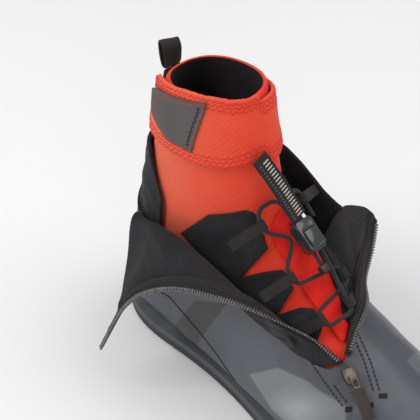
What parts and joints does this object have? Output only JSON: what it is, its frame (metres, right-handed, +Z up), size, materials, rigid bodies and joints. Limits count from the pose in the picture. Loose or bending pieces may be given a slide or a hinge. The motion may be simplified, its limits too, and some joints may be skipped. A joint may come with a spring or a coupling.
{
  "type": "cross country ski boot",
  "caption": "Right cross country ski boot with its zipped gaiter folded open: soft ankle cuff, wrap strap, quick-lace, toe bar and grooved sole.",
  "frame": {"origin": "centre of the heel tread on the ground", "axes": "+X to the toe, +Y to the inner (medial) side of this right boot, +Z up"},
  "size_m": [0.2962, 0.1404, 0.216],
  "materials": {
    "sole_rubber": "matte moulded",
    "tread_rubber": "matte moulded, darker than the sidewall",
    "moulded_plastic": "satin",
    "steel": "turned bar",
    "shell_laminate": "smooth coated laminate, slate blue-grey, light sheen",
    "liner_neoprene": "orange-red neoprene with fine diagonal ribs",
    "board": "pressed fibre board",
    "footbed_foam": "foam with textile face",
    "softshell": "stretch softshell, dark grey",
    "guard_textile": "padded black synthetic with stitched edge",
    "label_textile": "dark grey patch with black stitch line",
    "hook_tape": "hook and loop tape",
    "webbing": "woven webbing",
    "lace_cord": "braided round cord",
    "lock_plastic": "glossy moulded plastic",
    "ribbon": "folded ribbon with pale ribs",
    "zip_tape": "knitted tape",
    "zip_coil": "coil teeth",
    "zip_metal": "antique bronze plating",
    "puller_leather": "embossed brown-black tab"
  },
  "bodies": {
    "boot": {"outsole": "sole_rubber", "heel_tread": "tread_rubber", "forefoot_tread_lateral": "tread_rubber", "forefoot_tread_centre": "tread_rubber", "forefoot_tread_medial": "tread_rubber", "toe_insert": "moulded_plastic", "toe_bar": "steel", "shell_lower": "shell_laminate", "heel_counter": "moulded_plastic", "toe_puff": "moulded_plastic", "liner": "liner_neoprene", "lasting_board": "board", "footbed": "footbed_foam", "shell_collar": "softshell", "lace_guard_lateral": "guard_textile", "lace_guard_medial": "guard_textile", "tongue": "liner_neoprene", "liner_loop_patch": "hook_tape", "pull_loop_base": "webbing", "lateral_lace_loop_1": "webbing", "lateral_lace_loop_2": "webbing", "lateral_lace_loop_3": "webbing", "medial_lace_loop_1": "webbing", "medial_lace_loop_2": "webbing", "medial_lace_loop_3": "webbing", "lace": "lace_cord", "lace_end_clip": "lock_plastic", "zip_closed_chain": "zip_coil", "zip_bottom_stop": "zip_metal"},
    "wrap": {"wrap_strap": "liner_neoprene", "wrap_label": "label_textile", "wrap_hook_patch": "hook_tape"},
    "pull_loop": {"heel_pull_loop": "webbing"},
    "lock": {"lace_lock_body": "lock_plastic"},
    "lock_button": {"lace_lock_button": "lock_plastic"},
    "ribbon": {"lace_pull_ribbon": "ribbon"},
    "lateral_leaf": {"lateral_flap": "softshell", "lateral_zip_tape": "zip_tape", "lateral_zip_coil": "zip_coil"},
    "medial_leaf": {"medial_flap": "softshell", "medial_zip_tape": "zip_tape", "medial_zip_coil": "zip_coil"},
    "slider": {"zip_slider": "zip_metal"},
    "puller": {"zip_pull_link": "zip_metal", "zip_pull_tab": "puller_leather"}
  },
  "joints": [
    {"name": "wrap_open", "type": "hinge", "parent": "boot", "child": "wrap", "pos_m": [0.038, 0.031, 0.19], "axis": [0, 0, 1], "range_deg": [0, 7]},
    {"name": "pull_loop_fold", "type": "hinge", "parent": "boot", "child": "pull_loop", "pos_m": [-0.009, 0, 0.1957], "axis": [0, 1, 0], "range_deg": [-60, 10]},
    {"name": "lock_slide", "type": "slide", "parent": "boot", "child": "lock", "axis": [-0.7912, 0, 0.6115], "range_m": [0, 0.006]},
    {"name": "lock_press", "type": "slide", "parent": "lock", "child": "lock_button", "axis": [-0.6115, 0, -0.7912], "range_m": [0, 0.0012], "stiffness_N_per_m": 600},
    {"name": "ribbon_lift", "type": "hinge", "parent": "lock", "child": "ribbon", "pos_m": [0.09662, 0, 0.14562], "axis": [0, 1, 0], "range_deg": [-2, 60]},
    {"name": "lateral_leaf_swing", "type": "hinge", "parent": "boot", "child": "lateral_leaf", "pos_m": [0.048, -0.0343, 0.089], "axis": [-0.9951, -0.026, 0.0952], "range_deg": [-15, 0]},
    {"name": "medial_leaf_swing", "type": "hinge", "parent": "boot", "child": "medial_leaf", "pos_m": [0.13, 0.023, 0.0955], "axis": [0.7234, -0.6269, -0.2893], "range_deg": [-15, 0]},
    {"name": "slider_run", "type": "slide", "parent": "boot", "child": "slider", "axis": [0.7902, -0.2701, -0.5501], "range_m": [0, 0.007]},
    {"name": "puller_lift", "type": "hinge", "parent": "slider", "child": "puller", "pos_m": [0.1646, -0.02356, 0.08427], "axis": [-0.3234, -0.9463, 0], "range_deg": [0, 110]}
  ]
}
